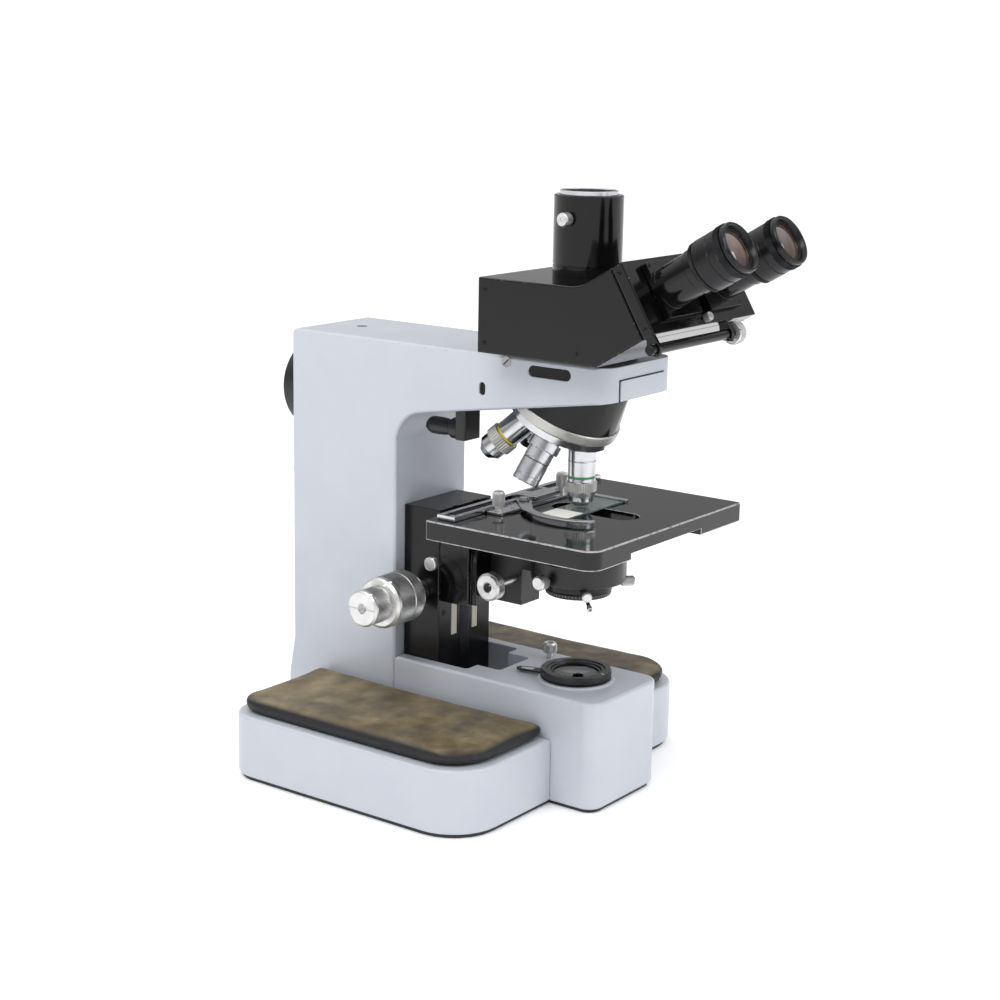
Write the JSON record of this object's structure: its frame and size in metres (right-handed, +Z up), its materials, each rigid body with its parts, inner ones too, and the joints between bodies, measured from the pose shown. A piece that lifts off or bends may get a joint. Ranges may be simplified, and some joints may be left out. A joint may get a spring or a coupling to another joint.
{
  "type": "microscope",
  "caption": "Bench microscope with a wide padded base, trinocular head, tilted objective turret, mechanical stage, condenser and coaxial focus knobs.",
  "frame": {"origin": "where the optical axis meets the bench, on the underside of the base plate", "axes": "+X to the user's right, +Y to the rear towards the column, +Z up along the optical axis"},
  "size_m": [0.303, 0.4234, 0.4551],
  "materials": {
    "enamel": "pale blue-grey stove enamel",
    "plate_steel": "blackened steel sheet",
    "pad_leather": "worn brown-black leathercloth",
    "satin_black": "satin black paint",
    "stage_black": "polished black lacquer",
    "gloss_black": "gloss black lacquer",
    "eyepiece_black": "black anodised",
    "satin_aluminium": "satin aluminium",
    "rim_grey": "grey anodised",
    "chrome": "bright plated",
    "slide_glass": "clear",
    "lens_glass": "polished lens",
    "mirror": "first-surface mirror"
  },
  "bodies": {
    "stand": {"stand_frame": "enamel", "lamp_block": "enamel", "base_plate": "plate_steel", "wing_left": "enamel", "wing_right": "enamel", "pad_left": "pad_leather", "pad_right": "pad_leather", "arm_plate": "enamel", "lamp_port": "satin_black", "dovetail_ring": "satin_black", "slide_housing": "satin_black", "nosepiece_bowl": "gloss_black", "lock_bracket": "satin_black", "head_body": "gloss_black", "head_cap": "gloss_black", "phototube": "gloss_black", "tube_insert": "chrome", "field_ring": "satin_black", "field_lens": "lens_glass", "base_mirror": "mirror"},
    "stage_lift": {"stage_bracket": "satin_black"},
    "stage_cross": {"stage_plate": "stage_black", "rail_frame": "chrome"},
    "slide_holder": {"holder_plate": "chrome", "specimen_slide": "slide_glass"},
    "holder_clamp_left": {"holder_screw_left": "satin_aluminium"},
    "holder_clamp_right": {"holder_screw_right": "satin_aluminium"},
    "finger": {"spring_finger": "chrome"},
    "stage_y_drive": {"stage_y_knob": "satin_black"},
    "stage_x_drive": {"stage_x_knob": "satin_black"},
    "condenser_lift": {"condenser_carrier": "satin_black", "condenser_body": "gloss_black"},
    "centring_left": {"centring_screw_left": "satin_aluminium"},
    "centring_right": {"centring_screw_right": "satin_aluminium"},
    "condenser_clamp_screw": {"condenser_clamp": "satin_aluminium"},
    "condenser_drive": {"condenser_knob": "satin_aluminium"},
    "iris": {"iris_ring": "satin_black"},
    "coarse_drive": {"coarse_shaft": "chrome", "coarse_knob_left": "satin_aluminium", "coarse_knob_right": "satin_aluminium"},
    "fine_drive": {"fine_knob_left": "satin_aluminium", "fine_knob_right": "satin_aluminium"},
    "turret_head": {"turret": "chrome", "turret_ring": "rim_grey", "objective_1": "chrome", "objective_2": "chrome", "objective_3": "chrome", "objective_4": "chrome", "objective_5": "chrome"},
    "nosepiece_clamp": {"nosepiece_lock": "satin_black"},
    "field_iris": {"field_lever": "satin_black"},
    "field_clamp": {"field_knob": "satin_aluminium"},
    "pupil_left": {"eyepiece_tube_left": "gloss_black"},
    "pupil_right": {"eyepiece_tube_right": "gloss_black"},
    "dioptre_left": {"eyepiece_left": "eyepiece_black"},
    "dioptre_right": {"eyepiece_right": "eyepiece_black"},
    "pupil_wheel": {"ipd_wheel": "satin_aluminium"},
    "beam_slide": {"beam_rod": "satin_black", "beam_knob": "satin_aluminium"},
    "tube_clamp": {"tube_screw": "satin_aluminium"}
  },
  "joints": [
    {"name": "stage_focus", "type": "slide", "parent": "stand", "child": "stage_lift", "axis": [0, 0, 1], "range_m": [-0.03, 0]},
    {"name": "coarse_turn", "type": "hinge", "parent": "stand", "child": "coarse_drive", "pos_m": [0, 0.125, 0.141], "axis": [1, 0, 0], "range_deg": [-541, 1]},
    {"name": "fine_turn", "type": "hinge", "parent": "stand", "child": "fine_drive", "pos_m": [0, 0.125, 0.141], "axis": [1, 0, 0], "continuous": true},
    {"name": "stage_y", "type": "slide", "parent": "stage_lift", "child": "stage_cross", "axis": [0, 1, 0], "range_m": [-0.012, 0.02]},
    {"name": "stage_x", "type": "slide", "parent": "stage_cross", "child": "slide_holder", "axis": [1, 0, 0], "range_m": [-0.02, 0.02]},
    {"name": "stage_y_turn", "type": "hinge", "parent": "stage_cross", "child": "stage_y_drive", "pos_m": [0.08, 0.048, 0.19], "axis": [0, 0, 1], "range_deg": [-217, 361]},
    {"name": "stage_x_turn", "type": "hinge", "parent": "stage_cross", "child": "stage_x_drive", "pos_m": [0.08, 0.048, 0.175], "axis": [0, 0, 1], "range_deg": [-361, 361]},
    {"name": "finger_swing", "type": "hinge", "parent": "slide_holder", "child": "finger", "pos_m": [-0.021, 0.037, 0.2219], "axis": [0, 0, 1], "range_deg": [-25, 0], "stiffness_Nm_per_rad": 0.02},
    {"name": "holder_clamp_left_turn", "type": "hinge", "parent": "slide_holder", "child": "holder_clamp_left", "pos_m": [-0.0545, 0.036, 0.23], "axis": [0, 0, 1], "range_deg": [-180, 180]},
    {"name": "holder_clamp_right_turn", "type": "hinge", "parent": "slide_holder", "child": "holder_clamp_right", "pos_m": [0.03, 0.038, 0.23], "axis": [0, 0, 1], "range_deg": [-180, 180]},
    {"name": "condenser_focus", "type": "slide", "parent": "stage_lift", "child": "condenser_lift", "axis": [0, 0, 1], "range_m": [-0.018, 0]},
    {"name": "condenser_turn", "type": "hinge", "parent": "condenser_lift", "child": "condenser_drive", "pos_m": [0, 0.051, 0.1586], "axis": [1, 0, 0], "range_deg": [-156, 1]},
    {"name": "iris_swing", "type": "hinge", "parent": "condenser_lift", "child": "iris", "pos_m": [0, 0, 0.1565], "axis": [0, 0, 1], "range_deg": [-35, 35]},
    {"name": "centring_left_turn", "type": "hinge", "parent": "condenser_lift", "child": "centring_left", "pos_m": [0, 0, 0.162], "axis": [-0.7349, -0.6782, 0], "range_deg": [-180, 180]},
    {"name": "centring_right_turn", "type": "hinge", "parent": "condenser_lift", "child": "centring_right", "pos_m": [0, 0, 0.162], "axis": [0.7361, -0.6769, 0], "range_deg": [-180, 180]},
    {"name": "condenser_clamp_turn", "type": "hinge", "parent": "condenser_lift", "child": "condenser_clamp_screw", "pos_m": [-0.04, 0.0033, 0.1705], "axis": [-1, 0, 0], "range_deg": [-90, 90]},
    {"name": "turret_turn", "type": "hinge", "parent": "stand", "child": "turret_head", "pos_m": [0, 0.02257, 0.27576], "axis": [0, -0.4305, 0.9026], "continuous": true},
    {"name": "nosepiece_clamp_turn", "type": "hinge", "parent": "stand", "child": "nosepiece_clamp", "pos_m": [-0.024, 0.1, 0.271], "axis": [0, 1, 0], "range_deg": [-90, 0]},
    {"name": "field_iris_swing", "type": "hinge", "parent": "stand", "child": "field_iris", "pos_m": [0, 0, 0.088], "axis": [0, 0, 1], "range_deg": [-18, 18]},
    {"name": "field_clamp_turn", "type": "hinge", "parent": "stand", "child": "field_clamp", "pos_m": [0.031, 0.046, 0.092], "axis": [0, 0, 1], "range_deg": [-180, 180]},
    {"name": "pupil_left_slide", "type": "slide", "parent": "stand", "child": "pupil_left", "axis": [1, 0, 0], "range_m": [-0.003, 0.0053]},
    {"name": "pupil_right_slide", "type": "slide", "parent": "stand", "child": "pupil_right", "axis": [1, 0, 0], "range_m": [-0.0054, 0.0031]},
    {"name": "dioptre_left_turn", "type": "hinge", "parent": "pupil_left", "child": "dioptre_left", "pos_m": [-0.0347, -0.08734, 0.39267], "axis": [0, -0.8581, 0.5135], "range_deg": [-90, 90]},
    {"name": "dioptre_right_turn", "type": "hinge", "parent": "pupil_right", "child": "dioptre_right", "pos_m": [0.0347, -0.08734, 0.39267], "axis": [0, -0.8581, 0.5135], "range_deg": [-90, 90]},
    {"name": "pupil_wheel_turn", "type": "hinge", "parent": "stand", "child": "pupil_wheel", "pos_m": [0, -0.10011, 0.37133], "axis": [0, -0.8581, 0.5135], "range_deg": [-271, 91]},
    {"name": "beam_push", "type": "slide", "parent": "stand", "child": "beam_slide", "axis": [1, 0, 0], "range_m": [0, 0.007]},
    {"name": "tube_clamp_turn", "type": "hinge", "parent": "stand", "child": "tube_clamp", "pos_m": [-0.03, 0, 0.4355], "axis": [-1, 0, 0], "range_deg": [-180, 180]}
  ],
  "couplings": [
    {"joint": "coarse_turn", "follows": "stage_focus", "rad_per_m": 314.16},
    {"joint": "stage_y_turn", "follows": "stage_y", "rad_per_m": 314.16},
    {"joint": "stage_x_turn", "follows": "stage_x", "rad_per_m": 314.16},
    {"joint": "pupil_right_slide", "follows": "pupil_left_slide", "ratio": -1}
  ]
}
